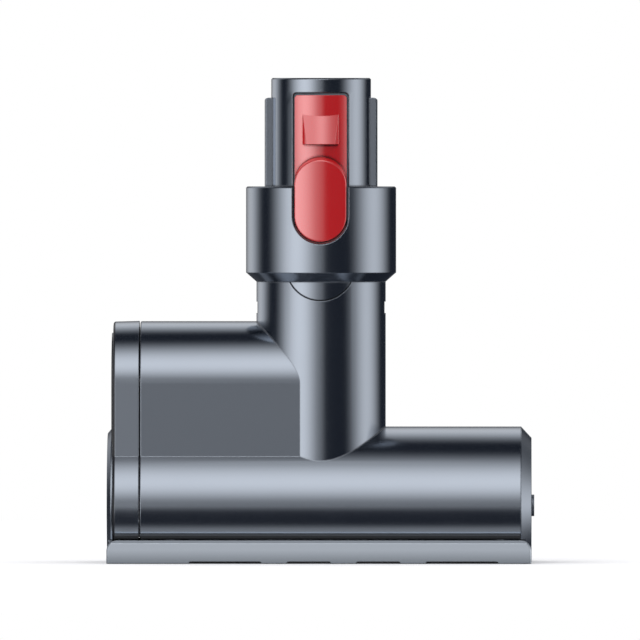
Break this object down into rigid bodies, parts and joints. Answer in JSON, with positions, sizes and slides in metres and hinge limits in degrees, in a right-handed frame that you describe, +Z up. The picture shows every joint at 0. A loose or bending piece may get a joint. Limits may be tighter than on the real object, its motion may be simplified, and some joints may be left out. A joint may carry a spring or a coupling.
{
  "type": "motorised brush nozzle",
  "caption": "Compact motorised brush head for a cordless stick vacuum, with a round neck, quick-release spigot, red release lever, belt-driven brush and grey sole plate.",
  "frame": {"origin": "on the floor that the sole rests on, under the middle of the whole head, on the neck's axis", "axes": "+Z up along the neck, +X to the right of the view in which the lever faces the viewer and the motor pod is on the left, -Y towards that viewer"},
  "size_m": [0.1556, 0.066, 0.1766],
  "materials": {
    "shell": "moulded ABS with a metallic blue-grey lacquer, satin gloss",
    "sole": "moulded light metallic grey plastic, satin",
    "lever": "moulded red plastic with a pearl gloss",
    "dark_plastic": "moulded black nylon",
    "bristle": "nylon bristle in a plastic rail",
    "belt": "toothed rubber belt",
    "steel": "zinc plated and drawn steel",
    "brass": "turned brass and sintered bronze",
    "magnet": "sintered ferrite",
    "board": "glass-filled board with green resist",
    "wire_red": "insulated wire",
    "wire_black": "insulated wire"
  },
  "bodies": {
    "housing": {"main_housing": "shell", "side_cover": "shell", "end_disc": "shell", "right_end_cap": "shell", "sole_plate": "sole", "drive_frame": "dark_plastic", "drive_bush": "brass", "cover_screws": "steel", "motor_screws": "steel", "sole_screws": "steel", "drive_belt": "belt", "motor_can": "steel", "motor_magnets": "magnet", "motor_end_bell": "dark_plastic", "control_board": "board", "collar": "shell", "spigot": "shell", "button_pivot_pin": "steel", "button_spring": "steel", "connector_block": "dark_plastic", "contact_pins": "brass", "wire_positive": "wire_red", "wire_negative": "wire_black"},
    "brush": {"brush_core": "dark_plastic", "drive_dog": "dark_plastic", "brush_tail": "dark_plastic", "drive_shaft": "steel", "driven_pulley": "dark_plastic", "bristle_strip_1": "bristle", "bristle_strip_2": "bristle", "bristle_strip_3": "bristle", "bristle_strip_4": "bristle"},
    "armature": {"armature_core": "steel", "armature_shaft": "steel", "commutator": "brass", "motor_pulley": "brass"},
    "lock": {"lock_plug": "shell", "tail_bush": "brass"},
    "button": {"release_button": "lever"}
  },
  "joints": [
    {"name": "brush_spin", "type": "hinge", "parent": "housing", "child": "brush", "pos_m": [0, 0, 0.0206], "axis": [1, 0, 0], "continuous": true, "deforming": ["drive_belt"]},
    {"name": "armature_spin", "type": "hinge", "parent": "housing", "child": "armature", "pos_m": [0, 0, 0.06543], "axis": [1, 0, 0], "continuous": true, "deforming": ["drive_belt"]},
    {"name": "lock_turn", "type": "hinge", "parent": "housing", "child": "lock", "pos_m": [0, 0, 0.0206], "axis": [1, 0, 0], "range_deg": [0, 90]},
    {"name": "button_press", "type": "hinge", "parent": "housing", "child": "button", "pos_m": [0, -0.0192, 0.1125], "axis": [-1, 0, 0], "range_deg": [0, 3.2], "stiffness_Nm_per_rad": 1, "springref_deg": -1.72, "deforming": ["button_spring"]}
  ],
  "couplings": [
    {"joint": "armature_spin", "follows": "brush_spin", "ratio": 2.7273}
  ]
}
